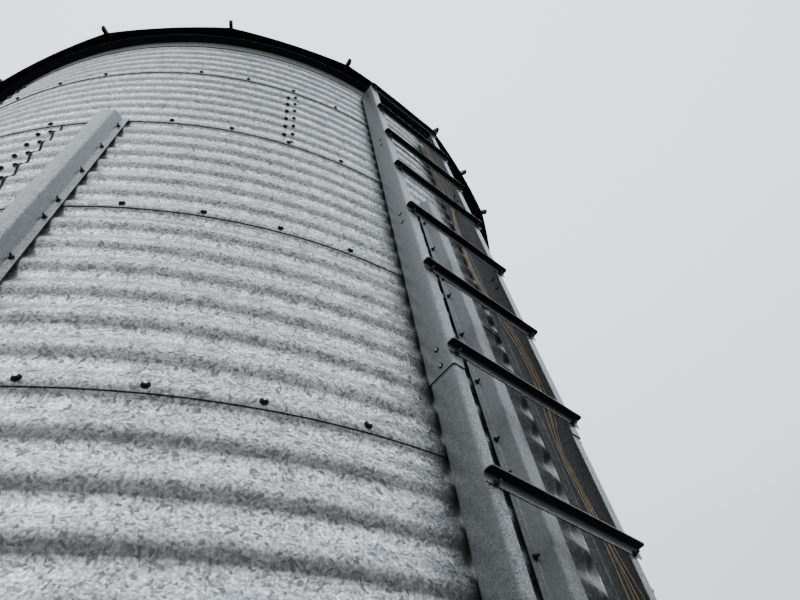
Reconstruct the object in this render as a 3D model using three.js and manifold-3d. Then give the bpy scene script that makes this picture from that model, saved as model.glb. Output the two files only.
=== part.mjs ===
// A corrugated steel grain silo with a flat foot: bolted wall rings, hat stiffeners, a ladder and
// a ribbed roof.
// Millimetres, +Z up. The silo's axis is Z and its foot stands on z = 0.
// Azimuths are in degrees from -Y towards +X.
import * as THREE from 'three';
import { mergeVertices } from 'three/addons/utils/BufferGeometryUtils.js';
import Module from 'manifold-3d';

const wasm = await Module();
wasm.setup();

const DEG = Math.PI / 180;
const GAP = 0.3;

// Wall: seven sheets high, each with seven corrugations, 54 bolt spaces around
const ringCount = 7;
const ringHeight = 812.8;
const corrugations = 7;
const corrugationDepth = 14;
const boltSpaces = 54;
const boltPitch = 238.125;
const valleyWall = 4;
const wallSides = 36;

const boltStep = 360 / boltSpaces;
const meanRadius = boltSpaces * boltPitch / (2 * Math.PI);
const crestRadius = meanRadius + corrugationDepth / 2;
const valleyRadius = meanRadius - corrugationDepth / 2;
const liningRadius = valleyRadius - valleyWall;
const pitch = ringHeight / corrugations;
const sideAngle = 360 / wallSides;

// Base ring: an angle under the wall and the stiffeners
const basePlate = 6;
const baseReach = 60;
const baseUpstand = 60;
const baseLeg = 4;
const wallFoot = basePlate + GAP;
const wallTop = wallFoot + ringCount * ringHeight;

// Eave ring: an angle around the top ring, its flange turned out under the eave
const eaveRingSheet = 3;
const eaveRingDrop = 90;
const eaveRingHeight = 110;
const eaveRingReach = 46;

// Stiffeners: hat sections every six bolt spaces, from the foot to just above the fifth seam. The
// second one, behind the ladder, stands a little nearer to the ladder's centre line.
const stiffenerCount = 9;
const stiffenerSpaces = boltSpaces / stiffenerCount;
const firstStiffener = -3 * boltStep;
const stiffenerRings = 5;
const stiffenerRise = 14;
const hat = { flange: 75, foot: 50, face: 28, depth: 42, sheet: 3 };
const ladderStiffener = { index: 1, shift: -20 };

// Ladder: two channel rails in two lengths each, and angle rungs on their front flanges
const ladderAzimuth = 19.3;
const railHalf = 257.4;
const railFlange = 40.4;
const railFront = 2143.5;
const railSheet = 3;
const railFoot = 450;
const railTop = 5422;
const railSplice = 2676;
const railLap = 160;
const rungStep = 436.6;
const rungHalf = 269;
const rung = { tread: 28, leg: 44, sheet: 3 };
const lowestRung = 581;
const rungCount = 12;

// Roof: eighteen flat panels with a rib over each joint, two panels to a node. Their eave edges are
// bowed outwards, and one panel carries an extra rib along its middle.
const panelCount = 18;
const firstRib = 8.6;
const roofPitch = 30;
const eaveCorner = 2148;
const peakCorner = 330;
const panelSheet = 3;
const eaveLip = 30;
const eaveBow = 20;
const rib = { half: 10, height: 38, tab: 26, shortfall: 12 };
const panelStep = 360 / panelCount;
const eaveFlat = eaveCorner * Math.cos(Math.PI / panelCount);
const peakFlat = peakCorner * Math.cos(Math.PI / panelCount);

// Peak: a collar around the filling hole, and its lid
const collarWall = 4;
const collarDrop = 40;
const collarRise = 90;
const lid = { radius: 352, sheet: 4, lip: 28, pitch: 15, sides: 36 };

// Leads of the grain sensors, one bundle down the right rail. Its route is chosen by hand, as points
// across the ladder, out from the silo's axis and up.
const leadRadius = 6;
const leadSides = 8;
const leadSteps = 80;
const leadRoute = [
  [244, 2070, 5400],
  [244, 2068, 5100],
  [244, 2072, 4800],
  [244, 2078, 4550],
  [238, 2066, 4380],
  [218, 2062, 4220],
  [205, 2060, 4060],
  [190, 2060, 3880],
  [185, 2060, 3720],
  [200, 2061, 3560],
  [232, 2066, 3450],
  [244.8, 2072, 3360],
  [244.8, 2091, 3150],
  [244.8, 2094, 2950],
  [244.8, 2086, 2820],
  [244.8, 2072, 2700],
  [244.8, 2074, 2600],
  [244.8, 2094, 2340],
  [244.8, 2104, 1700],
  [244.8, 2092, 1150],
  [244.8, 2100, 640],
];

const galvanised = (color, roughness) => new THREE.MeshStandardMaterial({ color, roughness, metalness: 0.7 });
const finish = {
  wall: galvanised(0xa9adae, 0.5),
  rail: galvanised(0x858d90, 0.5),
  rung: galvanised(0x6c7275, 0.55),
  roof: galvanised(0x9da2a4, 0.5),
  lead: new THREE.MeshStandardMaterial({ color: 0xa98a5c, roughness: 0.6, metalness: 0 }),
};

const silo = new THREE.Group();

function addMesh(parent, name, geometry, material) {
  const mesh = new THREE.Mesh(geometry, material);
  mesh.name = name;
  parent.add(mesh);
  return mesh;
}

function rotated(geometry, azimuth) {
  return geometry.clone().rotateZ(azimuth * DEG);
}

// Outline of a folded sheet: a path of [x, y] points thickened to both sides, with mitred corners
function foldedSheet(path, sheet) {
  const points = path.map(([x, y]) => new THREE.Vector2(x, y));
  const normals = points.slice(1).map((point, i) => {
    const along = point.clone().sub(points[i]).normalize();
    return new THREE.Vector2(-along.y, along.x);
  });
  const mitres = points.map((point, i) => {
    const before = normals[Math.max(i - 1, 0)];
    const after = normals[Math.min(i, normals.length - 1)];
    const middle = before.clone().add(after).normalize();
    return middle.multiplyScalar(sheet / 2 / middle.dot(before));
  });
  const left = points.map((point, i) => point.clone().add(mitres[i]));
  const right = points.map((point, i) => point.clone().sub(mitres[i]));
  return new THREE.Shape([...right, ...left.reverse()]);
}

function extruded(shape, length) {
  return new THREE.ExtrudeGeometry(shape, { depth: length, bevelEnabled: false, curveSegments: 6 });
}

// A closed profile of [radius, height] points turned about Z, counter-clockwise in the profile's plane.
// The radii are those of the flats, whose middles lie on whole steps from the given azimuth.
function turned(profile, sides, middle = 0) {
  const toCorner = 1 / Math.cos(Math.PI / sides);
  const points = profile.map(([radius, height]) => new THREE.Vector2(radius * toCorner, height));
  if (profile[0][0] > 0) {
    points.push(points[0].clone());
  }
  const start = middle * DEG - Math.PI / sides;
  return new THREE.LatheGeometry(points, sides, start).rotateX(Math.PI / 2);
}

function toSolid(geometry) {
  const bare = geometry.clone();
  bare.deleteAttribute('normal');
  bare.deleteAttribute('uv');
  const merged = mergeVertices(bare, 1e-3);
  const mesh = new wasm.Mesh({
    numProp: 3,
    vertProperties: new Float32Array(merged.attributes.position.array),
    triVerts: new Uint32Array(merged.index.array),
  });
  return new wasm.Manifold(mesh);
}

function joined(geometries) {
  const whole = geometries.map(toSolid).reduce((sum, next) => sum.add(next)).getMesh();
  const geometry = new THREE.BufferGeometry();
  geometry.setAttribute('position', new THREE.BufferAttribute(whole.vertProperties, 3));
  geometry.setIndex(new THREE.BufferAttribute(whole.triVerts, 1));
  geometry.computeVertexNormals();
  return geometry;
}

// The corrugated outside of one wall ring: first crest a quarter pitch above its lower edge
function wallProfile() {
  const top = ringHeight - GAP;
  const profile = [[liningRadius, 0], [meanRadius, 0]];
  for (let fold = 0; fold < corrugations; fold += 1) {
    profile.push([crestRadius, (fold + 0.25) * pitch]);
    profile.push([valleyRadius, (fold + 0.75) * pitch]);
  }
  profile.push([meanRadius, top], [liningRadius, top]);
  return profile;
}

function buildWall() {
  const ring = turned(wallProfile(), wallSides);
  for (let i = 0; i < ringCount; i += 1) {
    const mesh = addMesh(silo, `wall_ring_${i + 1}`, ring, finish.wall);
    mesh.position.z = wallFoot + i * ringHeight;
  }
}

function buildBaseRing() {
  const inside = liningRadius - GAP - baseLeg;
  const profile = [
    [inside, 0],
    [crestRadius + baseReach, 0],
    [crestRadius + baseReach, basePlate],
    [inside + baseLeg, basePlate],
    [inside + baseLeg, baseUpstand],
    [inside, baseUpstand],
  ];
  addMesh(silo, 'base_ring', turned(profile, wallSides), finish.rail);
}

function buildEaveRing() {
  const inside = crestRadius + GAP;
  const outside = inside + eaveRingSheet;
  const top = wallTop - eaveRingDrop;
  const profile = [
    [inside, top - eaveRingHeight],
    [outside, top - eaveRingHeight],
    [outside, top - eaveRingSheet],
    [inside + eaveRingReach, top - eaveRingSheet],
    [inside + eaveRingReach, top],
    [inside, top],
  ];
  addMesh(silo, 'eave_ring', turned(profile, wallSides), finish.rail);
}

function buildStiffeners() {
  const seat = -(crestRadius + GAP + hat.sheet / 2);
  const face = seat - hat.depth + hat.sheet;
  const path = [
    [-hat.flange, seat],
    [-hat.foot, seat],
    [-hat.face, face],
    [hat.face, face],
    [hat.foot, seat],
    [hat.flange, seat],
  ];
  const length = stiffenerRings * ringHeight + stiffenerRise;
  const geometry = extruded(foldedSheet(path, hat.sheet), length);
  for (let i = 0; i < stiffenerCount; i += 1) {
    const azimuth = (firstStiffener + i * stiffenerSpaces * boltStep) * DEG;
    const shift = i === ladderStiffener.index ? ladderStiffener.shift : 0;
    const mesh = addMesh(silo, `stiffener_${i + 1}`, geometry, finish.rail);
    mesh.rotation.z = azimuth;
    mesh.position.set(shift * Math.cos(azimuth), shift * Math.sin(azimuth), wallFoot);
  }
}

// How far the flat-sided wall reaches along the ladder's own outward direction at a distance across
function wallReach(across) {
  const azimuth = ladderAzimuth + Math.atan2(across, crestRadius) / DEG;
  const offFlat = azimuth - Math.round(azimuth / sideAngle) * sideAngle;
  const radius = crestRadius / Math.cos(offFlat * DEG);
  return Math.sqrt(radius ** 2 - across ** 2);
}

// One rail as a channel open towards the other rail; inset sets a lower length inside the upper one
function railGeometry(side, inset, length) {
  const seat = Math.max(wallReach(-railHalf + railFlange), wallReach(railHalf - railFlange)) + GAP;
  const half = railSheet / 2;
  const web = side * (railHalf - half - inset);
  const edge = side * (railHalf - railFlange);
  const back = -(seat + half + inset);
  const front = -(railFront - half - inset);
  return extruded(foldedSheet([[edge, back], [web, back], [web, front], [edge, front]], railSheet), length);
}

function buildLadder() {
  const ladder = new THREE.Group();
  ladder.rotation.z = ladderAzimuth * DEG;
  silo.add(ladder);
  const nesting = railSheet + GAP;
  for (const [word, side] of [['left', -1], ['right', 1]]) {
    const upper = railGeometry(side, 0, railTop - railSplice);
    const lower = railGeometry(side, nesting, railSplice + railLap - railFoot);
    addMesh(ladder, `ladder_rail_${word}_upper`, upper, finish.rail).position.z = railSplice;
    addMesh(ladder, `ladder_rail_${word}_lower`, lower, finish.rail).position.z = railFoot;
  }

  const half = rung.sheet / 2;
  const path = [[-half, -rung.leg], [-half, -half], [-rung.tread, -half]];
  const sideways = new THREE.Matrix4().makeBasis(
    new THREE.Vector3(0, 1, 0),
    new THREE.Vector3(0, 0, 1),
    new THREE.Vector3(1, 0, 0),
  );
  const geometry = extruded(foldedSheet(path, rung.sheet), 2 * rungHalf).applyMatrix4(sideways);
  for (let i = 0; i < rungCount; i += 1) {
    const name = `rung_${String(i + 1).padStart(2, '0')}`;
    const mesh = addMesh(ladder, name, geometry, finish.rung);
    const height = lowestRung + i * rungStep;
    const seat = height < railSplice ? railFront - nesting : railFront;
    mesh.position.set(-rungHalf, -(seat + GAP), height);
  }

  const points = leadRoute.map(([across, out, up]) => new THREE.Vector3(across, -out, up));
  const route = new THREE.CatmullRomCurve3(points);
  const sides = Array.from({ length: leadSides }, (_, i) => {
    const turn = 2 * Math.PI * i / leadSides;
    return new THREE.Vector2(leadRadius * Math.cos(turn), leadRadius * Math.sin(turn));
  });
  const bundle = new THREE.ExtrudeGeometry(new THREE.Shape(sides), { steps: leadSteps, extrudePath: route });
  addMesh(ladder, 'sensor_leads', bundle, finish.lead);
}

// Height of the panels' underside at the eave, which rests them on the top ring's nearest corner
function roofBase() {
  const panelMiddle = firstRib + panelStep / 2;
  const corner = (Math.round(panelMiddle / sideAngle - 0.5) + 0.5) * sideAngle;
  const wallCorner = meanRadius / Math.cos(Math.PI / wallSides);
  const seat = wallCorner * Math.cos((panelMiddle - corner) * DEG);
  const clearance = GAP / Math.cos(roofPitch * DEG);
  return wallTop - GAP + clearance - (eaveFlat - seat) * Math.tan(roofPitch * DEG);
}

// The solids of one roof panel in its own plane: x across, y up the slope from the eave, z out of the sheet.
// Its rib stands over the joint on the +x side. Where it laps, it clears the next panel.
function panelSolids(laps, midRib) {
  const eaveHalf = eaveCorner * Math.sin(panelStep / 2 * DEG);
  const peakHalf = peakCorner * Math.sin(panelStep / 2 * DEG);
  const slope = (eaveFlat - peakFlat) / Math.cos(roofPitch * DEG);
  const root = panelSheet / 3;
  const outline = new THREE.Shape();
  outline.moveTo(GAP - eaveHalf, 0);
  outline.quadraticCurveTo(0, -2 * eaveBow, eaveHalf - GAP, 0);
  outline.lineTo(peakHalf - GAP, slope);
  outline.lineTo(GAP - peakHalf, slope);
  const plate = extruded(outline, panelSheet);

  const lipHalf = eaveHalf - 2 * panelSheet;
  const edge = new THREE.Shape();
  edge.moveTo(-lipHalf, root);
  edge.quadraticCurveTo(0, root - 2 * eaveBow, lipHalf, root);
  edge.lineTo(lipHalf, root + panelSheet);
  edge.quadraticCurveTo(0, root + panelSheet - 2 * eaveBow, -lipHalf, root + panelSheet);
  const lip = extruded(edge, eaveLip + root).translate(0, 0, -eaveLip);

  const side = Math.hypot(eaveHalf - peakHalf, slope);
  const lean = Math.atan2(eaveHalf - peakHalf, slope);
  const lapHeight = laps ? panelSheet + GAP : root + GAP;
  const section = [
    new THREE.Vector2(-rib.half, root),
    new THREE.Vector2(-root, root),
    new THREE.Vector2(-root, lapHeight),
    new THREE.Vector2(rib.half, lapHeight),
    new THREE.Vector2(rib.half, rib.height),
    new THREE.Vector2(-rib.half, rib.height),
  ];
  const upright = extruded(new THREE.Shape(section), side + rib.tab - rib.shortfall);
  upright.rotateX(Math.PI / 2).translate(0, side - rib.shortfall, 0);
  upright.rotateZ(lean).translate(eaveHalf, 0, 0);
  if (!midRib) {
    return [plate, lip, upright];
  }
  const length = slope - rib.shortfall + eaveBow + rib.tab;
  const middle = new THREE.BoxGeometry(2 * rib.half, length, rib.height - root);
  middle.translate(0, slope - rib.shortfall - length / 2, (rib.height + root) / 2);
  return [plate, lip, upright, middle];
}

function placedOnSlope(geometry, azimuth) {
  const tilted = geometry.clone().rotateX(roofPitch * DEG).translate(0, -eaveFlat, roofBase());
  return rotated(tilted, azimuth);
}

// Two panels and their two ribs: the first rib joins the pair, the second laps over the next pair
function roofPair(azimuth, midRib) {
  const first = panelSolids(false, false).map((solid) => placedOnSlope(solid, azimuth));
  const second = panelSolids(true, midRib).map((solid) => placedOnSlope(solid, azimuth + panelStep));
  return joined([...first, ...second]);
}

function buildRoof() {
  const plain = roofPair(firstRib + panelStep / 2, false);
  const ribbed = roofPair(firstRib + panelStep / 2, true);
  for (let i = 0; i < panelCount / 2; i += 1) {
    const pair = i === 0 ? ribbed : plain;
    addMesh(silo, `roof_panels_${i + 1}`, pair, finish.roof).rotation.z = 2 * i * panelStep * DEG;
  }
}

function buildPeak() {
  const peakHeight = roofBase() + (eaveFlat - peakFlat) * Math.tan(roofPitch * DEG);
  const outside = peakFlat - GAP;
  const inside = outside - collarWall;
  const foot = peakHeight - collarDrop;
  const top = peakHeight + collarRise;
  const collar = [[inside, foot], [outside, foot], [outside, top], [inside, top]];
  addMesh(silo, 'peak_collar', turned(collar, panelCount, firstRib + panelStep / 2), finish.roof);

  const slope = Math.tan(lid.pitch * DEG);
  const collarCorner = outside / Math.cos(Math.PI / panelCount);
  const edge = top + GAP - (lid.radius - collarCorner) * slope;
  const cone = [
    [0, edge + lid.radius * slope],
    [lid.radius - lid.sheet, edge + lid.sheet * slope],
    [lid.radius - lid.sheet, edge - lid.lip],
    [lid.radius, edge - lid.lip],
    [lid.radius, edge + lid.sheet],
    [0, edge + lid.sheet + lid.radius * slope],
  ];
  addMesh(silo, 'peak_lid', turned(cone, lid.sides), finish.roof);
}

buildBaseRing();
buildWall();
buildStiffeners();
buildEaveRing();
buildLadder();
buildRoof();
buildPeak();

export default silo;
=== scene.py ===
import math

import bmesh
import bpy
from mathutils import Matrix, Vector


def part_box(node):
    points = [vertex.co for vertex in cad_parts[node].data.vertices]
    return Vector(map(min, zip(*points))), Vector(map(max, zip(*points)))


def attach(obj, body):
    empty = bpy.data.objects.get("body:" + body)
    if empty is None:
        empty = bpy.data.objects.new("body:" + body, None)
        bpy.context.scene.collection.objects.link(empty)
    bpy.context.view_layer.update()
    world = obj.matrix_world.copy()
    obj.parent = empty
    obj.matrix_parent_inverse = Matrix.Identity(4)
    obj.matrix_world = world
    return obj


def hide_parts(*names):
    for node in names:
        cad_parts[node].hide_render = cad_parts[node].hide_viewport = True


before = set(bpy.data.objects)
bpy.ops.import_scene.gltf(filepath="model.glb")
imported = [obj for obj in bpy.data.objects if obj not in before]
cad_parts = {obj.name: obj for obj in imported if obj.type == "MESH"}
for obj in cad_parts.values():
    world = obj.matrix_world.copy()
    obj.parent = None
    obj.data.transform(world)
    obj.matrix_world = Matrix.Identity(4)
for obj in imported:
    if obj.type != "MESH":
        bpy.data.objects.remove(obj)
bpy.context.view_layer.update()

# Camera: hand-held at eye height about a metre from the wall, pitched steeply up at the eave,
# swung towards the ladder and rolled a little.
frame_width = 800
camera_place = Vector((-0.1516, -2.9667, 1.4627))
camera_heading = math.radians(30.137)
camera_pitch = math.radians(55.905)
camera_roll = math.radians(-11.953)
focal_pixels = 621.775
sensor_width = 36

bpy.ops.object.camera_add()
camera = bpy.context.object
camera.data.sensor_width = sensor_width
camera.data.lens = focal_pixels * sensor_width / frame_width
camera.matrix_world = (
    Matrix.Translation(camera_place)
    @ Matrix.Rotation(-camera_heading, 4, "Z")
    @ Matrix.Rotation(math.pi / 2 + camera_pitch, 4, "X")
    @ Matrix.Rotation(camera_roll, 4, "Z")
)
bpy.context.scene.camera = camera

# Base ring: a rolled steel angle on the concrete pad. Its flat leg turns outwards under the wall
# and the stiffeners, and its upright leg stands inside the bottom sheets, which are bolted to it.
mm = 0.001
mean_radius = 2046.5 * mm
corrugation_depth = 14 * mm
crest_radius = mean_radius + corrugation_depth / 2
valley_radius = mean_radius - corrugation_depth / 2
round_steps = 162
base_plate = 6 * mm
base_reach = 60 * mm
base_upstand = 60 * mm
base_leg = 5 * mm
base_clear = 3 * mm
base_inside = valley_radius - base_clear - base_leg
ladder_bearing = 19.3


def at(radius, azimuth, height):
    """A place by its distance from the silo's axis, its bearing from -Y towards +X, and height."""
    angle = math.radians(azimuth)
    return Vector((radius * math.sin(angle), -radius * math.cos(angle), height))


def trace(name, points):
    """A bent line, drawn by extruding one corner from point to point."""
    bpy.ops.object.select_all(action="DESELECT")
    bpy.ops.mesh.primitive_plane_add(size=0.01)
    line = bpy.context.object
    line.name = name
    bpy.ops.object.mode_set(mode="EDIT")
    bpy.context.tool_settings.mesh_select_mode = (True, False, False)
    bpy.ops.mesh.merge(type="CENTER")
    bpy.ops.transform.translate(value=points[0])
    for start, end in zip(points, points[1:]):
        bpy.ops.mesh.extrude_vertices_move(
            TRANSFORM_OT_translate={"value": Vector(end) - Vector(start)}
        )
    bpy.ops.mesh.select_all(action="SELECT")
    return line


def roll_round(turn, steps):
    """Rolls the selected line about the silo's axis."""
    bpy.ops.mesh.spin(
        steps=steps, angle=math.radians(turn), center=(0, 0, 0), axis=(0, 0, 1)
    )


def pick(test):
    """Selects the corners whose place passes a test."""
    bpy.ops.mesh.select_all(action="DESELECT")
    shape = bmesh.from_edit_mesh(bpy.context.object.data)
    for corner in shape.verts:
        corner.select_set(test(corner.co))
    shape.select_flush_mode()
    bmesh.update_edit_mesh(bpy.context.object.data)


def close_up(solid):
    """Closes a rolled shape where it meets itself and turns the faces of a solid outwards."""
    bpy.ops.mesh.select_all(action="SELECT")
    bpy.ops.mesh.remove_doubles(threshold=0.01 * mm)
    if solid:
        bpy.ops.mesh.normals_make_consistent(inside=False)
    bpy.ops.object.mode_set(mode="OBJECT")


def take(piece):
    """Selects one piece and nothing else."""
    bpy.ops.object.select_all(action="DESELECT")
    piece.select_set(True)
    bpy.context.view_layer.objects.active = piece


def work(piece, kind, **settings):
    """Adds a modifier and applies it."""
    take(piece)
    modifier = piece.modifiers.new(kind, kind)
    for name, value in settings.items():
        setattr(modifier, name, value)
    bpy.ops.object.modifier_apply(modifier=modifier.name)


def smooth(piece, angle=35):
    """Shades a piece smooth where its faces meet at less than this angle."""
    take(piece)
    bpy.ops.object.shade_smooth_by_angle(angle=math.radians(angle))


class Signal:
    """A value on its way through a material's nodes. Arithmetic on it adds Math nodes."""

    def __init__(self, tree, socket=None):
        self.tree = tree
        self.socket = socket

    def node(self, kind, settings=None, inputs=None, output=0):
        """Adds a node, fed by signals or plain values, and gives one of its outputs."""
        made = self.tree.nodes.new("ShaderNode" + kind)
        for name, value in (settings or {}).items():
            if name == "stops":
                while len(made.color_ramp.elements) < len(value):
                    made.color_ramp.elements.new(0.5)
                for stop, (place, grey) in zip(made.color_ramp.elements, value):
                    stop.position = place
                    stop.color = (grey, grey, grey, 1)
            else:
                setattr(made, name, value)
        for name, value in (inputs or {}).items():
            if isinstance(value, Signal):
                self.tree.links.new(value.socket, made.inputs[name])
            else:
                made.inputs[name].default_value = value
        return Signal(self.tree, made.outputs[output])

    def maths(self, operation, *values):
        """A Math node. The signal that it is called on only says in which material it goes."""
        return self.node("Math", {"operation": operation}, dict(enumerate(values)))

    def vector(self, operation, *values, output=0):
        """A Vector Math node, for places and directions."""
        return self.node("VectorMath", {"operation": operation}, dict(enumerate(values)), output)

    def scaled(self, factor):
        return self.node("VectorMath", {"operation": "SCALE"}, {0: self, "Scale": factor})

    def __add__(self, other):
        return self.maths("ADD", self, other)

    __radd__ = __add__

    def __sub__(self, other):
        return self.maths("SUBTRACT", self, other)

    def __rsub__(self, other):
        return self.maths("SUBTRACT", other, self)

    def __mul__(self, other):
        return self.maths("MULTIPLY", self, other)

    __rmul__ = __mul__

    def ramp(self, *stops, span=1):
        """A grey read off this value by stops, which run from 0 to the span in its own unit."""
        stops = [(place / span, grey) for place, grey in stops]
        return self.node("ValToRGB", {"stops": stops}, {"Fac": self * (1 / span)})

    def blend(self, low, high):
        """A colour between two, by this value."""
        return self.node("Mix", {"data_type": "RGBA"}, {0: self, 6: low, 7: high}, output=2)


def new_finish(name):
    """An empty material and its shader."""
    finish = bpy.data.materials.new(name)
    finish.use_nodes = True
    return finish, finish.node_tree.nodes["Principled BSDF"]


def feed(shader, socket, signal):
    """Links a signal to one of a shader's sockets."""
    signal.tree.links.new(signal.socket, shader.inputs[socket])


# Near-black of the painted shade on faces that look down.
underside_shade_black = (0.004, 0.004, 0.005, 1)


def paint_underside_shade(start, shader, unshaded):
    """Lays a near-black painted shade over a shader, the more where the mask is below 1."""
    tree = start.tree
    shade_coat = start.node("BsdfPrincipled", inputs={
        "Base Color": underside_shade_black, "Roughness": 0.8, "Specular IOR Level": 0.1,
    })
    mixed = start.node("MixShader", inputs={0: unshaded, 1: shade_coat, 2: Signal(tree, shader.outputs[0])})
    tree.links.new(mixed.socket, tree.nodes["Material Output"].inputs["Surface"])


flake_width = 0.24
flake_length = 0.6
flake_weight = 0.7
feather_weight = 1.1
grain_weight = 1.3
cloud_weight = 0.6
middle_tone = 0.62
relief_depth = 0.3 * mm
# Dark grey that the painted light and shade blends the zinc towards.
painted_shade_grey = (0.05, 0.053, 0.052, 1)


def galvanised(name, dark, light, cell, metallic, rough, painted_shading=None, under=0.28, sheen=0.5):
    """Hot-dipped zinc: the flakes of each crystal lie their own way. An optional mask of painted
    light and shade blends the zinc towards a dark grey, and faces that look down are painted black
    as shade."""
    finish, shader = new_finish(name)
    start = Signal(finish.node_tree)
    place = start.node("TexCoord", output="Object")
    facing = start.node("TexCoord", output="Normal")
    sway = start.node("TexNoise", inputs={"Vector": place, "Scale": 1.5 / cell}, output="Color")
    bent = start.vector("ADD", place, sway.scaled(0.4 * cell))
    crystal = start.node("TexVoronoi", inputs={"Vector": bent, "Scale": 1 / cell}, output="Color")
    lie = start.vector("NORMALIZE", start.vector("SUBTRACT", crystal, (0.5, 0.5, 0.5)))
    along = start.vector("DOT_PRODUCT", lie, bent, output="Value")
    wide = flake_width * cell
    long = flake_length * cell
    drawn_out = lie.scaled(along * (1 / wide - 1 / long))
    spread = start.vector("SUBTRACT", bent.scaled(1 / wide), drawn_out)
    flakes = start.node("TexVoronoi", inputs={"Vector": spread, "Scale": 1}, output="Color")
    flake = start.node("SeparateColor", inputs={"Color": flakes}, output="Red")
    feather = start.node("TexNoise", inputs={"Vector": spread, "Scale": 1.1, "Detail": 3})
    grain = start.node("TexNoise", inputs={"Vector": place, "Scale": 5 / cell, "Detail": 3})
    cloud = start.node("TexNoise", inputs={"Vector": place, "Scale": 0.6 / cell, "Detail": 4})
    few_dark = flake.ramp((0, 0), (0.12, 0.45), (0.3, 0.8), (1, 1))
    crystals = (few_dark - 0.8) * flake_weight + (feather - 0.5) * feather_weight
    bright = crystals + (grain - 0.5) * grain_weight + (cloud - 0.5) * cloud_weight
    tone = start.node("Clamp", inputs={0: bright + middle_tone})
    colour = (tone * tone).blend(dark, light)
    if painted_shading:
        colour = painted_shading(place, facing).blend(painted_shade_grey, colour)
    feed(shader, "Base Color", colour)
    feed(shader, "Roughness", rough + (0.5 - tone) * 0.15)
    relief = {"Strength": 0.3, "Distance": relief_depth, "Height": tone}
    feed(shader, "Normal", start.node("Bump", inputs=relief))
    shader.inputs["Metallic"].default_value = metallic
    shader.inputs["Specular IOR Level"].default_value = sheen
    # Faces that look down are painted black as shade.
    rise = start.node("SeparateXYZ", inputs={"Vector": facing}, output="Z")
    paint_underside_shade(start, shader, (rise * 0.5 + 0.5).ramp((0.3 * under, 0), (under, 1)))
    return finish


def mottled(name, dark, light, grain, metallic, rough, sheen=0.5):
    """A finish of one colour, uneven between two shades of it."""
    finish, shader = new_finish(name)
    start = Signal(finish.node_tree)
    place = start.node("TexCoord", output="Object")
    mottle = start.node("TexNoise", inputs={"Vector": place, "Scale": 1 / grain, "Detail": 3})
    feed(shader, "Base Color", mottle.blend(dark, light))
    feed(shader, "Roughness", mottle * 0.2 + (rough - 0.1))
    shader.inputs["Metallic"].default_value = metallic
    shader.inputs["Specular IOR Level"].default_value = sheen
    return finish


def paint(piece, finish):
    piece.data.materials.clear()
    piece.data.materials.append(finish)


def settle(piece, slot, *nodes):
    """Hangs a finished piece under the root and hides the parts that it stands for. The slot is not
    used.
    """
    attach(piece, "root")
    if nodes:
        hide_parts(*nodes)
    piece.select_set(False)


def bearing_of(place):
    """The signal of a bearing, for a place on a surface, in degrees from -Y towards +X."""
    across = place.node("SeparateXYZ", inputs={"Vector": place}, output="X")
    back = place.node("SeparateXYZ", inputs={"Vector": place}, output="Y")
    return across.maths("ARCTAN2", across, back * -1) * (180 / math.pi)


def height_of(place):
    """The signal of a height, for a place on a surface."""
    return place.node("SeparateXYZ", inputs={"Vector": place}, output="Z")


def painted_facing_shade(place, facing):
    """Painted light and shade: faces that look outwards are painted brighter than the sides, and all
    are painted darker behind the ladder.
    """
    outward = place.vector("NORMALIZE", place.vector("MULTIPLY", place, (1, 1, 0)))
    look = place.vector("DOT_PRODUCT", outward, facing, output="Value")
    aside = bearing_of(place) - ladder_bearing
    out_of_ladder_shadow = aside.maths("ABSOLUTE", aside).ramp((3.5, 0.6), (5, 1), span=10)
    return look.ramp((0.1, 0.4), (0.4, 0.2), (0.6, 0.3), (0.9, 1)) * out_of_ladder_shadow


# Rail zinc: painted facing light and shade, and its down-facing faces painted black as shade.
rail_zinc = galvanised(
    "rail_zinc", dark=(0.015, 0.017, 0.017, 1), light=(0.32, 0.34, 0.34, 1), cell=9 * mm,
    metallic=0.2, rough=0.36, painted_shading=painted_facing_shade,
)
base_ring = trace("base_ring_angle", [
    at(base_inside, 0, 0),
    at(crest_radius + base_reach, 0, 0),
    at(crest_radius + base_reach, 0, base_plate),
    at(base_inside + base_leg, 0, base_plate),
    at(base_inside + base_leg, 0, base_upstand),
    at(base_inside, 0, base_upstand),
    at(base_inside, 0, 0),
])
roll_round(360, round_steps)
close_up(solid=True)
smooth(base_ring)
paint(base_ring, rail_zinc)
settle(base_ring, "rail_sheet", "base_ring")

# Wall rings: seven rings of corrugated galvanised sheet, six sheets to a ring. Each sheet laps
# over its right neighbour, and each ring over the one below. Black mastic lies along every ring's
# lower edge, and is squeezed out beside the upright laps of every other ring.
ring_height = 812.8 * mm
corrugations = 7
wave = ring_height / corrugations
ring_count = 7
wall_foot = 6.3 * mm
wall_top = wall_foot + ring_count * ring_height
sheets_round = 6
sheet_turn = 360 / sheets_round
bolts_round = 54
bolt_turn = 360 / bolts_round
sheet_gauge = 1.2 * mm
lap_lift = 1.8 * mm
lap_under = 36 * mm
lap_over = 28 * mm
lap_up = 45 * mm
lap_step = 26 * mm
lap_waves = 1.5
# How far each of a sheet's last four columns, from the right edge inwards, stands out over the
# next one in, as a share of the lap's lift.
lap_lifts = (0.55, 0.0, 0.2, 0.25)
sheet_steps = 26
tiny_turn = 0.02
edge_rise = 8.2 * mm
wave_points = 10
least_rise = 1 * mm
# Bolt spaces from the front to the first upright seam of each ring.
first_seams = [2, 0, 5, 2, 5.11, 0, 2]
mastic_gauge = 1.2 * mm
mastic_stand = 4.6 * mm
mastic_below = 2.2 * mm
upright_gauge = 3.4 * mm
upright_proud = 3.4 * mm
upright_width = 5 * mm
upright_under = 1 * mm


def wave_radius(height):
    """The outside of the corrugated sheet: it starts half way up to its first crest."""
    return mean_radius + corrugation_depth / 2 * math.sin(2 * math.pi * height / wave)


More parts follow.
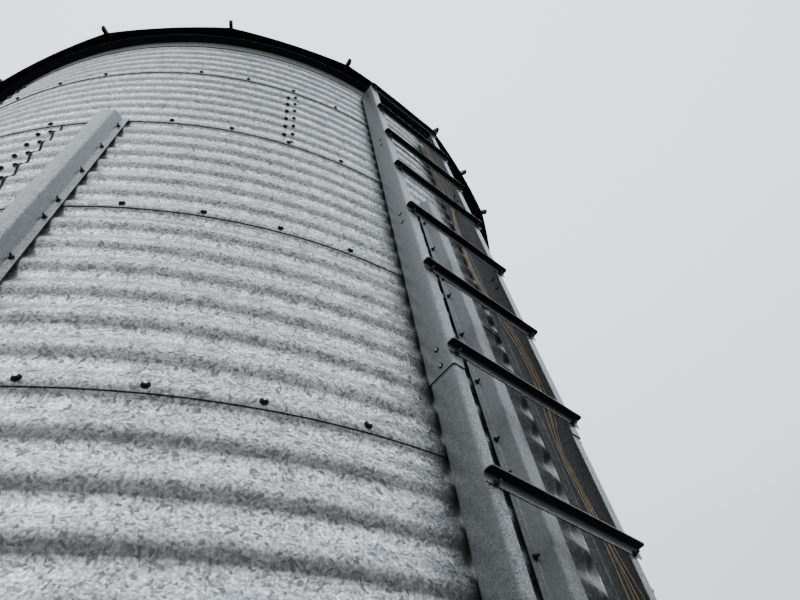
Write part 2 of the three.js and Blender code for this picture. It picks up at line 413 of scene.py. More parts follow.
def turn_of(place):
    """The bearing of a corner, in degrees from -Y towards +X."""
    return math.degrees(math.atan2(place.x, -place.y))


def ease(value):
    """Runs from 0 to 1 with a gentle start and end."""
    value = min(max(value, 0), 1)
    return value * value * (3 - 2 * value)


def lap_rise(height):
    """How far the lower edge is lifted to lie over the ring below."""
    return lap_lift * (1 - ease(height / (lap_waves * wave)))


def wave_heights(top):
    """The heights at which a sheet's wave is drawn."""
    steps = int(top / wave * wave_points)
    heights = [max(i * wave / wave_points, edge_rise) for i in range(steps + 1)]
    return heights + [top] if top - heights[-1] > least_rise else heights


def roll_sheet(name, top):
    """One curved sheet, with its lower edge and its right edge lifted to lie over what is there."""
    left = -math.degrees(lap_under / mean_radius)
    right = sheet_turn + math.degrees(lap_over / mean_radius)
    last = len(lap_lifts) - 1
    fine = last * math.degrees(lap_step / mean_radius)
    sheet = trace(name, [
        at(wave_radius(height) + lap_rise(height), left, height) for height in wave_heights(top)
    ])
    roll_round(right - fine - left, sheet_steps)
    roll_round(fine, last)
    for step, lift in enumerate(lap_lifts):
        edge = right - fine * step / last - tiny_turn
        share = 1 + lap_lift * lift / mean_radius
        pick(lambda place: turn_of(place) > edge)
        bpy.ops.transform.resize(value=(share, share, 1), center_override=(0, 0, 0))
    bpy.ops.mesh.select_all(action="SELECT")
    bpy.ops.object.mode_set(mode="OBJECT")
    return sheet


def copy_of(piece, name, turn=0, lift=0):
    """A copy with its own mesh, turned about the silo's axis and raised."""
    take(piece)
    bpy.ops.object.duplicate()
    copy = bpy.context.object
    copy.name = name
    copy.rotation_euler.z = math.radians(turn)
    copy.location.z = lift
    bpy.ops.object.transform_apply(location=True, rotation=True)
    return copy


def scrap(*pieces):
    for piece in pieces:
        bpy.data.objects.remove(piece)


def weld_together(name, pieces):
    bpy.ops.object.select_all(action="DESELECT")
    for piece in pieces:
        piece.select_set(True)
    bpy.context.view_layer.objects.active = pieces[0]
    if len(pieces) > 1:
        bpy.ops.object.join()
    pieces[0].name = name
    return pieces[0]


def roll_ring(name, top):
    """Six sheets of one ring, its first upright seam at bearing 0."""
    sheet = roll_sheet("sheet_pattern", top)
    work(sheet, "SOLIDIFY", thickness=sheet_gauge, offset=-1)
    sheets = [copy_of(sheet, "sheet", sheet_turn * i) for i in range(sheets_round)]
    scrap(sheet)
    return weld_together(name, sheets)


def lay_mastic(name, squeezed):
    """A bead under one ring's lower edge and, where it is squeezed out, one beside each lap."""
    stand = mean_radius + mastic_stand
    bead = trace("bead", [at(stand, 0, edge_rise - mastic_below), at(stand, 0, edge_rise)])
    roll_round(360, round_steps)
    close_up(solid=False)
    work(bead, "SOLIDIFY", thickness=mastic_gauge, offset=-1)
    beads = [bead]
    if squeezed:
        for i in range(sheets_round):
            bearing = i * sheet_turn + math.degrees((lap_over - upright_under) / mean_radius)
            upright = trace("upright", [
                at(wave_radius(height) + lap_rise(height) + upright_proud, bearing, height)
                for height in wave_heights(ring_height)
            ])
            roll_round(math.degrees(upright_width / mean_radius), steps=2)
            bpy.ops.object.mode_set(mode="OBJECT")
            work(upright, "SOLIDIFY", thickness=upright_gauge, offset=-1)
            beads.append(upright)
    return weld_together(name, beads)


def painted_wall_shade(place, facing):
    """Painted shade in the hollow under every crest, deeper at the foot and the top of the wall, and
    painted shadow beside the stiffeners, under the rails and behind the ladder."""
    height = height_of(place)
    share = (height - wall_foot) * (1 / wave) + 0.25
    hollow = share.maths("FRACT", share).ramp(
        (0.11, 1), (0.17, 0.75), (0.21, 0.35), (0.35, 0.38), (0.5, 0.72), (0.72, 0.86), (0.95, 1)
    )
    deep = height.ramp((1.933, 0.6), (2.533, 0), (3.2, 0), (5.333, 0.6), span=6.667) * 1.2 + 1
    from_hat = bearing_of(place) - first_hat + hat_turn
    beside = from_hat.maths("PINGPONG", from_hat, hat_turn / 2)
    hat_shadow = beside.ramp((2.1, 0.35), (2.8, 0.75), (3.8, 1), span=5)
    above = height.maths("GREATER_THAN", height, hat_top)
    painted_bands = hollow.maths("POWER", hollow, deep) * hat_shadow.maths("MAXIMUM", hat_shadow, above)
    aside = bearing_of(place) - ladder_bearing
    off = aside.maths("ABSOLUTE", aside)
    lit = painted_bands * off.ramp(
        (5.4, 1), (5.6, 0.05), (6.85, 0.05), (7.2, 0.45), (7.8, 0.8), (8.6, 1), span=10
    )
    behind = off.ramp((5, 1), (5.8, 0), span=10) * (1 - above)
    return lit + (ladder_shade_tone - lit) * behind


hat_count = 9
hat_turn = 360 / hat_count
first_hat = -3 * bolt_turn
hat_rings = 5
hat_above = 14 * mm
hat_top = wall_foot + hat_rings * ring_height + hat_above
# Flat tone of the painted shade on the wall behind the ladder, below the stiffeners' tops.
ladder_shade_tone = 0.22
wall_zinc = galvanised(
    "wall_zinc", dark=(0.13, 0.133, 0.135, 1), light=(0.98, 0.985, 0.99, 1), cell=30 * mm,
    metallic=0.6, rough=0.36, painted_shading=painted_wall_shade,
)
rubber = mottled(
    "black_rubber", dark=(0.004, 0.004, 0.004, 1), light=(0.012, 0.012, 0.013, 1), grain=8 * mm,
    metallic=0, rough=0.6, sheen=0.1,
)
plain_mastic = lay_mastic("plain_mastic", squeezed=False)
squeezed_mastic = lay_mastic("squeezed_mastic", squeezed=True)
ring_pattern = roll_ring("ring_pattern", ring_height + lap_up)
top_pattern = roll_ring("top_pattern", ring_height)
for i in range(ring_count):
    pattern = top_pattern if i == ring_count - 1 else ring_pattern
    ring = copy_of(
        pattern, f"wall_ring_{i + 1}_sheets", first_seams[i] * bolt_turn, wall_foot + i * ring_height
    )
    smooth(ring)
    paint(ring, wall_zinc)
    settle(ring, "wall_sheet", f"wall_ring_{i + 1}")
    mastic = copy_of(
        plain_mastic if i % 2 else squeezed_mastic,
        f"wall_ring_{i + 1}_mastic", first_seams[i] * bolt_turn, wall_foot + i * ring_height,
    )
    paint(mastic, rubber)
    settle(mastic, "lead_sheath")
scrap(ring_pattern, top_pattern, plain_mastic, squeezed_mastic)

# Wall bolts: zinc-plated hexagon heads on black rubber washers. A row goes round on the first
# crest above each ring's lower edge, and two columns, a little out of step, close each upright seam.
hexagon = 6
washer_sides = 14
face_sides = 12
thread_sides = 8
washer_radius = 10.8 * mm
washer_height = 2.6 * mm
head_radius = 7.2 * mm
face_radius = 3.9 * mm
head_height = 5 * mm
chamfer = 2 * mm
face_gauge = 0.3 * mm
nut_washer_radius = 8.5 * mm
nut_radius = 7 * mm
nut_low = 2 * mm
nut_high = 7 * mm
thread_radius = 3.2 * mm
thread_end = 16 * mm
bolt_crease = 25
row_drop = 2 * mm
hat_clear = 3
rail_clear = (5.5, 8)


def post(finish, sides, radius, near, far, height, bearing, taper=1):
    """A short round or hexagonal post, from near to far out from the silo's axis."""
    bpy.ops.object.select_all(action="DESELECT")
    bpy.ops.mesh.primitive_cone_add(
        vertices=sides, radius1=radius, radius2=radius * taper, depth=far - near,
        rotation=(math.pi / 2, 0, math.radians(bearing)),
        location=at((near + far) / 2, bearing, height),
    )
    bpy.ops.object.transform_apply(location=True, rotation=True)
    paint(bpy.context.object, finish)
    return bpy.context.object


def bolt(name, seat, height=0, bearing=0, size=1):
    """A rubber washer and a hexagon head pointing out from the silo: the head's sides are painted
    near-black as shade and a lighter disc on its face is a painted highlight.
    """
    under = seat + washer_height * size
    edge = under + (head_height - chamfer) * size
    face = under + head_height * size
    highlight_top = face + face_gauge
    head = head_radius * size
    return weld_together(name, [
        post(rubber, washer_sides, washer_radius * size, seat, under, height, bearing, taper=0.85),
        post(stud_zinc, hexagon, head, under, edge, height, bearing),
        post(stud_zinc, hexagon, head, edge, face, height, bearing, face_radius / head_radius),
        post(bolt_zinc, face_sides, face_radius * size, face, highlight_top, height, bearing),
    ])


def stud(name, seat, height=0, bearing=0):
    """A flat washer, a nut and the threaded end of a bolt that comes through from inside."""
    low = seat + nut_low
    high = seat + nut_high
    end = seat + thread_end
    return weld_together(name, [
        post(stud_zinc, washer_sides, nut_washer_radius, seat, low, height, bearing),
        post(stud_zinc, hexagon, nut_radius, low, high, height, bearing),
        post(stud_zinc, thread_sides, thread_radius, high, end, height, bearing, taper=0.85),
    ])


def repeat_round(piece, count, turn):
    """Copies a piece round the silo's axis."""
    step = bpy.data.objects.new("step", None)
    bpy.context.scene.collection.objects.link(step)
    step.rotation_euler.z = math.radians(turn)
    bpy.context.view_layer.update()
    work(
        piece, "ARRAY", count=count, use_relative_offset=False,
        use_object_offset=True, offset_object=step,
    )
    scrap(step)


def repeat_up(piece, count, rise):
    """Copies a piece up the silo."""
    work(
        piece, "ARRAY", count=count, use_relative_offset=False,
        use_constant_offset=True, constant_offset_displace=(0, 0, rise),
    )


def cut_away(piece, test):
    """Takes off the parts whose corners pass a test."""
    take(piece)
    bpy.ops.object.mode_set(mode="EDIT")
    pick(test)
    bpy.ops.mesh.delete(type="VERT")
    bpy.ops.object.mode_set(mode="OBJECT")


def under_hat(place):
    """Where a stiffener covers the row of bolts."""
    off = (turn_of(place) - first_hat + hat_turn / 2) % hat_turn - hat_turn / 2
    return abs(off) < hat_clear


def beside_rail(place):
    """Where a ladder rail stands in the way of a bolt."""
    return rail_clear[0] < abs(turn_of(place) - ladder_bearing) < rail_clear[1]


# bolt_zinc is the lighter zinc of the painted highlights on bolt faces and bracket crowns; stud_zinc
# is a near-black zinc for the studs, also used as painted shade on the sides of the bolt heads.
bolt_zinc = mottled(
    "bolt_zinc", dark=(0.30, 0.31, 0.32, 1), light=(0.62, 0.63, 0.64, 1), grain=6 * mm,
    metallic=1, rough=0.3,
)
stud_zinc = mottled(
    "stud_zinc", dark=(0.015, 0.016, 0.017, 1), light=(0.06, 0.062, 0.065, 1), grain=6 * mm,
    metallic=1, rough=0.45,
)
seam_bolts = bolt("seam_bolts", crest_radius + lap_lift, wall_foot + wave / 4 - row_drop)
repeat_round(seam_bolts, bolts_round, bolt_turn)
cut_away(seam_bolts, under_hat)
cut_away(seam_bolts, beside_rail)
repeat_up(seam_bolts, ring_count, ring_height)
smooth(seam_bolts, angle=bolt_crease)
settle(seam_bolts, "rail_sheet")

lap_size = 0.95
lap_rows_high = corrugations - 1
left_height = 1.065 * wave
right_height = 1.26 * wave
corner_height = 0.42 * wave
spread_ring = 4


def lap_rows(name, left, right, rise):
    """The bolts of the upright laps of one ring, and the one that pins each lower corner."""
    left_bearing = -math.degrees(left / mean_radius)
    right_bearing = math.degrees(right / mean_radius)
    left_seat = wave_radius(left_height + rise) + lap_lift
    left_column = bolt("left", left_seat, left_height + rise, left_bearing, lap_size)
    repeat_up(left_column, lap_rows_high, wave)
    right_column = bolt("right", crest_radius + lap_lift, right_height, right_bearing, lap_size)
    repeat_up(right_column, lap_rows_high, wave)
    corner_seat = wave_radius(corner_height) + lap_lift
    corner = bolt("corner", corner_seat, corner_height, right_bearing, lap_size)
    rows = weld_together(name, [left_column, right_column, corner])
    repeat_round(rows, sheets_round, sheet_turn)
    return rows


lap_pattern = lap_rows("lap_pattern", left=22 * mm, right=14 * mm, rise=0)
spread_pattern = lap_rows("spread_pattern", left=33 * mm, right=12.5 * mm, rise=14 * mm)
for i in range(ring_count):
    rows = copy_of(
        spread_pattern if i == spread_ring else lap_pattern,
        f"lap_bolts_{i + 1}", first_seams[i] * bolt_turn, wall_foot + i * ring_height,
    )
    if i < hat_rings:
        cut_away(rows, under_hat)
    smooth(rows, angle=bolt_crease)
    settle(rows, "rail_sheet")
scrap(lap_pattern, spread_pattern)

# Stiffeners: nine upright hat sections folded from heavier sheet, one every six bolt spaces, from
# the base ring to just above the fifth seam. Studs from inside hold their flanges to the crests.
hat_half = 75 * mm
hat_foot = 50 * mm
hat_face = 28 * mm
hat_depth = 42 * mm
hat_gauge = 2.5 * mm
fold_radius = 4 * mm
stud_line = 58 * mm
left_crests = (0.25, 1.25, 3.25, 5.25)
right_crests = (0.25, 2.25, 4.25, 6.25)
behind_ladder = 1
ladder_hat_shift = -20 * mm


def fold(piece, gauge, radius, segments=3):
    """Rounds the folds of a bent sheet and gives it its thickness to both sides."""
    work(
        piece, "BEVEL", width=radius, segments=segments, limit_method="ANGLE",
        angle_limit=math.radians(25),
    )
    work(piece, "SOLIDIFY", thickness=gauge, offset=0, use_even_offset=True)
    smooth(piece, angle=30)


def fold_up(name, path, foot, top):
    """A sheet folded along upright lines: path is its section, in bearing 0's own directions."""
    piece = trace(name, [Vector((across, -out, foot)) for across, out in path])
    bpy.ops.mesh.extrude_region_move(TRANSFORM_OT_translate={"value": (0, 0, top - foot)})
    bpy.ops.object.mode_set(mode="OBJECT")
    return piece


def shift(piece, across, out=0):
    """Moves a piece across and out, before it is turned from bearing 0 to its own."""
    take(piece)
    piece.location = (across, -out, 0)
    bpy.ops.object.transform_apply(location=True)


def turn_to(piece, bearing):
    """Turns a piece about the silo's axis."""
    take(piece)
    piece.rotation_euler.z = math.radians(bearing)
    bpy.ops.object.transform_apply(rotation=True)


hat_seat = crest_radius + lap_lift + hat_gauge / 2
hat_front = hat_seat + hat_depth - hat_gauge
hat_pattern = fold_up("hat_pattern", [
    (-hat_half, hat_seat),
    (-hat_foot, hat_seat),
    (-hat_face, hat_front),
    (hat_face, hat_front),
    (hat_foot, hat_seat),
    (hat_half, hat_seat),
], wall_foot, hat_top)
fold(hat_pattern, hat_gauge, fold_radius)
for i in range(hat_count):
    hat = copy_of(hat_pattern, f"stiffener_{i + 1}_hat")
    if i == behind_ladder:
        shift(hat, ladder_hat_shift)
    turn_to(hat, first_hat + hat_turn * i)
    paint(hat, rail_zinc)
    settle(hat, "rail_sheet", f"stiffener_{i + 1}")
scrap(hat_pattern)

flange_bearing = math.degrees(stud_line / crest_radius)
flange_seat = hat_seat + hat_gauge / 2
flange_studs = []
for side, crests in ((-1, left_crests), (1, right_crests)):
    for crest in crests:
        flange_studs.append(
            stud("flange_stud", flange_seat, wall_foot + crest * wave, side * flange_bearing)
        )
hat_studs = weld_together("hat_studs", flange_studs)
repeat_up(hat_studs, hat_rings, ring_height)
studs_round = []
for i in range(hat_count):
    studs = copy_of(hat_studs, "studs")
    if i == behind_ladder:
        shift(studs, ladder_hat_shift)
    turn_to(studs, first_hat + hat_turn * i)
    studs_round.append(studs)
scrap(hat_studs)
stiffener_studs = weld_together("stiffener_studs", studs_round)
smooth(stiffener_studs, angle=bolt_crease)
settle(stiffener_studs, "rail_sheet")

# Eave ring: a rolled angle round the top sheets. Its leg lies against the wall and its flange
# turns out in the shade of the roof's edge.
eave_drop = 90 * mm
eave_height = 110 * mm
eave_reach = 46 * mm
eave_gauge = 3 * mm
eave_fold = 5 * mm
clearance = 0.3 * mm
eave_inside = crest_radius + clearance + eave_gauge / 2
eave_flange = wall_top - eave_drop - eave_gauge / 2
eave_ring = trace("eave_ring_angle", [
    at(eave_inside, 0, wall_top - eave_drop - eave_height),
    at(eave_inside, 0, eave_flange),
    at(eave_inside + eave_reach, 0, eave_flange),
])
roll_round(360, round_steps)
close_up(solid=False)
fold(eave_ring, eave_gauge, eave_fold, segments=2)
paint(eave_ring, rail_zinc)
settle(eave_ring, "rail_sheet", "eave_ring")

# Roof: eighteen flat sheets from the eave to the filling hole, their long sides turned up under
# folded ribs that run past the eave, their bowed outer edges turned down. One has a rib up its
# middle too.
panel_count = 18
panel_turn = 360 / panel_count
first_rib = 8.6
roof_pitch = math.radians(30)
eave_corner = 2148 * mm
peak_corner = 330 * mm
roof_gauge = 1.5 * mm
eave_hem = 6 * mm
hem_return = 12 * mm
sheet_gap = 2 * mm
eave_bow = 20 * mm
eave_points = 8
rib_half = 10 * mm
rib_foot = 3 * mm
rib_height = 36 * mm
rib_gauge = 2 * mm
rib_fold = 3 * mm
rib_tab = 26 * mm
rib_short = 12 * mm
turn_up = 30 * mm
turn_up_width = 3 * mm
half_turn = math.radians(panel_turn / 2)
eave_flat = eave_corner * math.cos(half_turn)
peak_flat = peak_corner * math.cos(half_turn)
eave_half = eave_corner * math.sin(half_turn)
peak_half = peak_corner * math.sin(half_turn)
slope_length = (eave_flat - peak_flat) / math.cos(roof_pitch)
roof_step = 4 * mm
roof_seat = mean_radius + roof_step
eave_edge = wall_top - (eave_flat - roof_seat) * math.tan(roof_pitch)


def lay_on_slope(piece, turn):
    """From the sheet's own plane (x across, y up the slope) to its place on the roof."""
    piece.matrix_world = (
        Matrix.Rotation(math.radians(turn), 4, "Z")
        @ Matrix.Translation((0, -eave_flat, eave_edge))
        @ Matrix.Rotation(roof_pitch, 4, "X")
        @ piece.matrix_world
    )
    take(piece)
    bpy.ops.object.transform_apply(location=True, rotation=True)


def edge_half(up):
    """Half the sheet's width at a distance up the slope."""
    return eave_half + (peak_half - eave_half) * up / slope_length


def fold_rib(name, tab, length):
    """A narrow channel, open downwards, that lies up the slope from a tab's length below it."""
    rib = trace(name, [
        Vector((-rib_half, -tab, rib_foot)),
        Vector((-rib_half, -tab, rib_height)),
        Vector((rib_half, -tab, rib_height)),
        Vector((rib_half, -tab, rib_foot)),
    ])
    bpy.ops.mesh.extrude_region_move(
        TRANSFORM_OT_translate={"value": (0, length - rib_short + tab, 0)}
    )
    pick(lambda place: place.y < 1 * mm - tab)
    bpy.ops.mesh.edge_face_add()
    bpy.ops.object.mode_set(mode="OBJECT")
    fold(rib, rib_gauge, rib_fold, segments=2)
    return rib


eave_line = []
for i in range(eave_points + 1):
    share = i / eave_points
    across = (2 * share - 1) * (eave_half - sheet_gap)
    eave_line.append(Vector((across, -4 * eave_bow * share * (1 - share), 0)))
panel_pattern = trace("panel_pattern", eave_line)
bpy.ops.mesh.extrude_region_move(TRANSFORM_OT_translate={"value": (0, slope_length, 0)})
narrowing = (peak_half - sheet_gap) / (eave_half - sheet_gap)
bpy.ops.transform.resize(value=(narrowing, 0, 1), center_override=(0, slope_length, 0))
pick(lambda place: place.y < slope_length / 2)
bpy.ops.mesh.extrude_region_move(TRANSFORM_OT_translate={"value": (0, 0, -eave_hem)})
bpy.ops.mesh.extrude_region_move(TRANSFORM_OT_translate={"value": (0, hem_return, 0)})
for side in (-1, 1):
    pick(
        lambda place: place.z > -eave_hem / 2
        and place.x * side > edge_half(place.y) - turn_up_width
    )
    bpy.ops.mesh.extrude_region_move(TRANSFORM_OT_translate={"value": (0, 0, turn_up)})
bpy.ops.mesh.select_all(action="SELECT")
bpy.ops.mesh.normals_make_consistent(inside=False)
bpy.ops.object.mode_set(mode="OBJECT")
work(panel_pattern, "SOLIDIFY", thickness=roof_gauge, offset=0)
smooth(panel_pattern)

rib_pattern = fold_rib("rib_pattern", rib_tab, math.hypot(eave_half - peak_half, slope_length))
rib_pattern.rotation_euler.z = math.atan2(eave_half - peak_half, slope_length)
rib_pattern.location = (eave_half, 0, 0)
bpy.ops.object.transform_apply(location=True, rotation=True)
middle_rib = fold_rib("middle_rib", eave_bow + rib_tab, slope_length)


def painted_tab_shade(place, facing):
    """The tabs that the ribs put out past the eave are painted dark as shade."""
    out = place.vector("LENGTH", place.vector("MULTIPLY", place, (1, 1, 0)), output="Value")
    return out.ramp((2.14, 1), (2.155, 0), span=2.5)


# Roof zinc: every face that does not look well up is darkened towards black as painted shade.
roof_zinc = galvanised(
    "roof_zinc", dark=(0.12, 0.123, 0.126, 1), light=(0.72, 0.73, 0.74, 1), cell=30 * mm,
    metallic=0.4, rough=0.42, painted_shading=painted_tab_shade, under=0.95, sheen=0.3,
)
for i in range(panel_count // 2):
    sheets = []
    for k in (0, 1):
        bearing = first_rib + panel_turn * (0.5 + 2 * i + k)
        for pattern in (panel_pattern, rib_pattern):
            sheet = copy_of(pattern, "roof_sheet")
            lay_on_slope(sheet, bearing)
            sheets.append(sheet)
    if i == 0:
        lay_on_slope(middle_rib, bearing)
        sheets.append(middle_rib)
    pair = weld_together(f"roof_panels_{i + 1}_sheets", sheets)
    paint(pair, roof_zinc)
    settle(pair, "roof_sheet", f"roof_panels_{i + 1}")
scrap(panel_pattern, rib_pattern)

# Peak: a rolled collar round the filling hole, of the roof's own zinc, and over it a shallow spun
# lid with a turned-down edge.
peak_steps = 72
collar_wall = 2 * mm
collar_low, collar_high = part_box("peak_collar")
lid_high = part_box("peak_lid")[1]
collar_radius = peak_flat - clearance
collar = trace("filling_collar", [
    at(collar_radius - collar_wall, 0, collar_low.z),
    at(collar_radius, 0, collar_low.z),
    at(collar_radius, 0, collar_high.z),
    at(collar_radius - collar_wall, 0, collar_high.z),
    at(collar_radius - collar_wall, 0, collar_low.z),
])
roll_round(360, peak_steps)
close_up(solid=True)
smooth(collar)
paint(collar, roof_zinc)
settle(collar, "roof_sheet", "peak_collar")

lid_radius = 352 * mm
lid_gauge = 2 * mm
lid_lip = 28 * mm
lid_corner = 6 * mm
lid_slope = math.tan(math.radians(15))
lid_edge = lid_high.z - lid_gauge - lid_radius * lid_slope
lid_side = lid_radius - lid_gauge / 2
lid = trace("filling_lid", [
    at(0, 0, lid_edge + lid_radius * lid_slope),
    at(lid_radius / 2, 0, lid_edge + lid_radius / 2 * lid_slope),
    at(lid_radius - lid_corner, 0, lid_edge + lid_corner * lid_slope),
    at(lid_side, 0, lid_edge - lid_corner / 2),
    at(lid_side, 0, lid_edge - lid_lip),
])
roll_round(360, peak_steps)
close_up(solid=True)
work(lid, "SOLIDIFY", thickness=lid_gauge, offset=0)
smooth(lid, angle=40)
paint(lid, roof_zinc)
settle(lid, "roof_sheet", "peak_lid")

# Ladder rails: two upright channels folded from galvanised sheet, open towards each other. Each is
# in two lengths, with the upper one slipped over the lower.
rail_half = 257.4 * mm
rail_flange = 40.4 * mm
rail_front = 2143.5 * mm
rail_back = 2042.5 * mm
rail_gauge = 3 * mm
rail_fold = 6 * mm
rail_foot = 450 * mm
rail_top = 5422 * mm
rail_splice = 2688 * mm
rail_lap = 160 * mm
nest = rail_gauge + clearance


def rail(name, side, inset, foot, top):
    """One length of a rail. The inset makes it small enough to nest in the length above it."""
    half = rail_gauge / 2
    web = side * (rail_half - half - inset)
    edge = side * (rail_half - rail_flange)
    piece = fold_up(name, [
        (edge, rail_back + half + inset),
        (web, rail_back + half + inset),
        (web, rail_front - half - inset),
        (edge, rail_front - half - inset),
    ], foot, top)
    fold(piece, rail_gauge, rail_fold, segments=4)
    paint(piece, rail_zinc)
    turn_to(piece, ladder_bearing)
    return piece


for word, side in (("left", -1), ("right", 1)):
    upper = rail(f"rail_{word}_upper_channel", side, 0, rail_splice, rail_top)
    settle(upper, "rail_sheet", f"ladder_rail_{word}_upper")
    lower = rail(f"rail_{word}_lower_channel", side, nest, rail_foot, rail_splice + rail_lap)
    settle(lower, "rail_sheet", f"ladder_rail_{word}_lower")

# Rungs: twelve galvanised steel angles, bolted across the front flanges of the rails with the
# tread outwards and the leg hanging down. The outer corners of a tread are rounded.
rung_count = 12
rung_step = 436.6 * mm
lowest_rung = 577 * mm
rung_half = 267 * mm
rung_tread = 28 * mm
rung_leg = 28 * mm
rung_corner = 9 * mm
rung_fold = 9 * mm
rung_gauge = 3 * mm
nested_rungs = 5


def painted_rim_light(place, facing):
    """A rung is painted dark as shade, with painted light along the lower rim of its leg."""
    share = (height_of(place) - lowest_rung) * (1 / rung_step) + 1
    return share.maths("FRACT", share).ramp((0.936, 1), (0.95, 0.5), (0.972, 0))


rung_zinc = galvanised(
    "rung_zinc", dark=(0.01, 0.01, 0.011, 1), light=(0.5, 0.51, 0.52, 1), cell=9 * mm,
    metallic=0, rough=0.4, painted_shading=painted_rim_light, under=0.45, sheen=0.4,
)
rung_pattern = trace("rung_pattern", [
    Vector((-rung_half, -rung_gauge / 2, -rung_leg)),
    Vector((-rung_half, -rung_gauge / 2, -rung_gauge / 2)),
    Vector((-rung_half, -rung_tread, -rung_gauge / 2)),
])
bpy.ops.mesh.extrude_region_move(TRANSFORM_OT_translate={"value": (2 * rung_half, 0, 0)})
pick(lambda place: place.y < -rung_tread / 2)
bpy.ops.mesh.bevel(offset=rung_corner, segments=4, affect="VERTICES")
bpy.ops.object.mode_set(mode="OBJECT")
fold(rung_pattern, rung_gauge, rung_fold, segments=5)
paint(rung_pattern, rung_zinc)
for i in range(rung_count):
    height = lowest_rung + i * rung_step
    seat = rail_front - nest if i < nested_rungs else rail_front
    rung = copy_of(rung_pattern, f"rung_{i + 1:02d}_angle", lift=height)
    shift(rung, across=0, out=seat + clearance)
    turn_to(rung, ladder_bearing)
    settle(rung, "rung_sheet", f"rung_{i + 1:02d}")
scrap(rung_pattern)

# Ladder bolts: a zinc-plated stud holds each end of a rung to its rail. Pairs of bolts on black
# rubber rings, each with
# # a small bright crown as a painted highlight, go through the sides of the rails, where brackets
# behind them hold the ladder.
rung_stud_drop = 24 * mm
rung_studs = []
for first, last, seat in (
    (0, nested_rungs, rail_front - nest), (nested_rungs, rung_count, rail_front)
):
    for side in (-1, 1):
        height = lowest_rung + first * rung_step - rung_stud_drop
        end = stud("rung_stud", seat + rung_gauge + clearance, height)
        shift(end, side * (rail_half - rail_flange / 2))
        repeat_up(end, last - first, rung_step)
        rung_studs.append(end)
ladder_studs = weld_together("ladder_studs", rung_studs)
turn_to(ladder_studs, ladder_bearing)
smooth(ladder_studs, angle=bolt_crease)
settle(ladder_studs, "rung_sheet")

bracket_out = 2100 * mm
bracket_height = 2749 * mm
bracket_step = 857 * mm
bracket_count = 4
bracket_half = 34 * mm
outer_rubber = 8.5 * mm
inner_rubber = 9 * mm
rubber_sides = 10
rubber_height = 2.5 * mm
crown_radius = 3.4 * mm
crown_height = 2 * mm
bracket_bolts = []
for side in (-1, 1):
    for face, ring, bearing in (
        (rail_half, outer_rubber, 90 * side), (rail_gauge - rail_half, inner_rubber, -90 * side)
    ):
        for offset in (-bracket_half, bracket_half):
            height = bracket_height + offset
            edge = face + rubber_height
            top = edge + crown_height
            head = weld_together("bracket_bolt", [
                post(rubber, rubber_sides, ring, face, edge, height, bearing, taper=0.9),
                post(bolt_zinc, face_sides, crown_radius, edge, top, height, bearing, taper=0.7),
            ])
            shift(head, across=0, out=bracket_out)
            repeat_up(head, bracket_count, bracket_step)
            bracket_bolts.append(head)
ladder_bolts = weld_together("ladder_bolts", bracket_bolts)
turn_to(ladder_bolts, ladder_bearing)
smooth(ladder_bolts, angle=bolt_crease)
settle(ladder_bolts, "rail_sheet")

# Sensor leads: four thin sheathed leads of the temperature cables in the grain. They wander down
# the right rail and fan out. A point of their route is across, out and up in millimetres, then how
# far apart they lie.
lead_radius = 1.9 * mm
lead_count = 4
lead_sideways = (-2.4, 3)
lead_route = [
    (244, 2070, 5400, 6),
    (244, 2068, 5100, 6),
    (244, 2072, 4800, 14),
    (244, 2078, 4550, 12),
    (238, 2066, 4380, 3),
    (218, 2062, 4220, 3),
    (205, 2060, 4060, 3),
    (190, 2060, 3880, 3),
    (185, 2060, 3720, 3),
    (200, 2061, 3560, 3),
    (232, 2066, 3450, 4),
    (244.8, 2072, 3360, 6),
    (244.8, 2091, 3150, 5),
    (244.8, 2094, 2950, 6),
    (244.8, 2086, 2820, 8),
    (244.8, 2072, 2700, 3),
    (244.8, 2074, 2600, 3.5),
    (244.8, 2088, 2370, 4.5),
    (244.8, 2098, 2150, 13),
    (244.8, 2102, 1700, 14),
    (244.8, 2092, 1150, 10),
    (244.8, 2100, 640, 6),
]

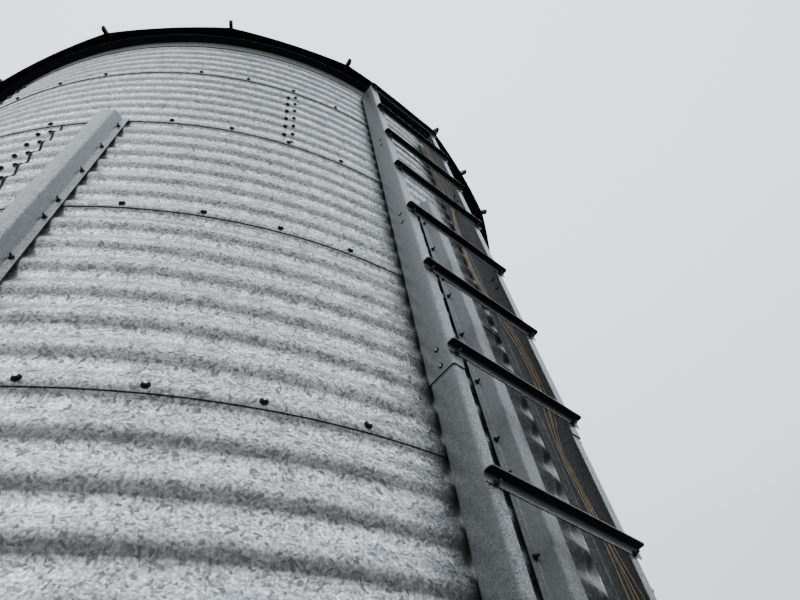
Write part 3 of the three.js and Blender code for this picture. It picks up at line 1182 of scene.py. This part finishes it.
lead_sheath = mottled(
    "lead_sheath", dark=(0.10, 0.075, 0.045, 1), light=(0.48, 0.37, 0.22, 1), grain=25 * mm,
    metallic=0, rough=0.5,
)
leads = []
for number in range(lead_count):
    curve = bpy.data.curves.new(f"lead_{number}", "CURVE")
    curve.dimensions = "3D"
    curve.bevel_depth = lead_radius
    curve.bevel_resolution = 2
    curve.resolution_u = 8
    spline = curve.splines.new("BEZIER")
    spline.bezier_points.add(len(lead_route) - 1)
    for point, (across, out, height, spread) in zip(spline.bezier_points, lead_route):
        out += spread * (number - (lead_count - 1) / 2)
        across += lead_sideways[number % 2]
        point.co = Vector((across, -out, height)) * mm
        point.handle_left_type = "AUTO"
        point.handle_right_type = "AUTO"
    lead = bpy.data.objects.new(f"lead_{number}", curve)
    bpy.context.scene.collection.objects.link(lead)
    take(lead)
    bpy.ops.object.convert(target="MESH")
    leads.append(bpy.context.object)
lead_run = weld_together("sensor_lead_wires", leads)
turn_to(lead_run, ladder_bearing)
smooth(lead_run, angle=60)
paint(lead_run, lead_sheath)
settle(lead_run, "lead_sheath", "sensor_leads")

# Floor and light: a plain pale floor for the silo to stand on, an even bright sky that is a little
# darker low on the right, and one broad soft light from above on the left.
floor_size = 60
floor_drop = 1 * mm
floor_grey = (0.30, 0.30, 0.30, 1)
lamp_place = Vector((-7, -6, 10))
lamp_aim = Vector((0, 0, 3))
horizon_glow = 2.6 / 3
horizon_colour = (0.97, 0.985, 1, 1)
zenith_colour = (0.78, 0.89, 1, 1)
dark_side = (0.96, -0.28, 0)

bpy.ops.object.select_all(action="DESELECT")
bpy.ops.mesh.primitive_plane_add(size=floor_size, location=(0, 0, -floor_drop))
floor = bpy.context.object
floor.name = "floor"
floor_paint, shader = new_finish("floor_paint")
shader.inputs["Base Color"].default_value = floor_grey
shader.inputs["Roughness"].default_value = 0.9
floor.data.materials.append(floor_paint)

bpy.ops.object.light_add(type="AREA", location=lamp_place)
lamp = bpy.context.object
lamp.data.size = 8
lamp.data.energy = 200
lamp.rotation_euler = (lamp_aim - lamp_place).to_track_quat("-Z", "Y").to_euler()

world = bpy.data.worlds.new("overcast")
bpy.context.scene.world = world
world.use_nodes = True
background = world.node_tree.nodes["Background"]
sky = Signal(world.node_tree)
direction = sky.node("TexCoord", output="Generated")
height = direction.node("SeparateXYZ", inputs={"Vector": direction}, output="Z")
above = height.maths("MAXIMUM", height, 0)
side = direction.vector("DOT_PRODUCT", direction, dark_side, output="Value")
shade = side.ramp((0.5, 1), (0.9, 0.8))
open_sky = shade.maths("MAXIMUM", shade, height.ramp((0.3, 0), (0.5, 1)))
feed(background, "Strength", (above * 2 + 1) * horizon_glow * open_sky)
feed(background, "Color", above.blend(horizon_colour, zenith_colour))
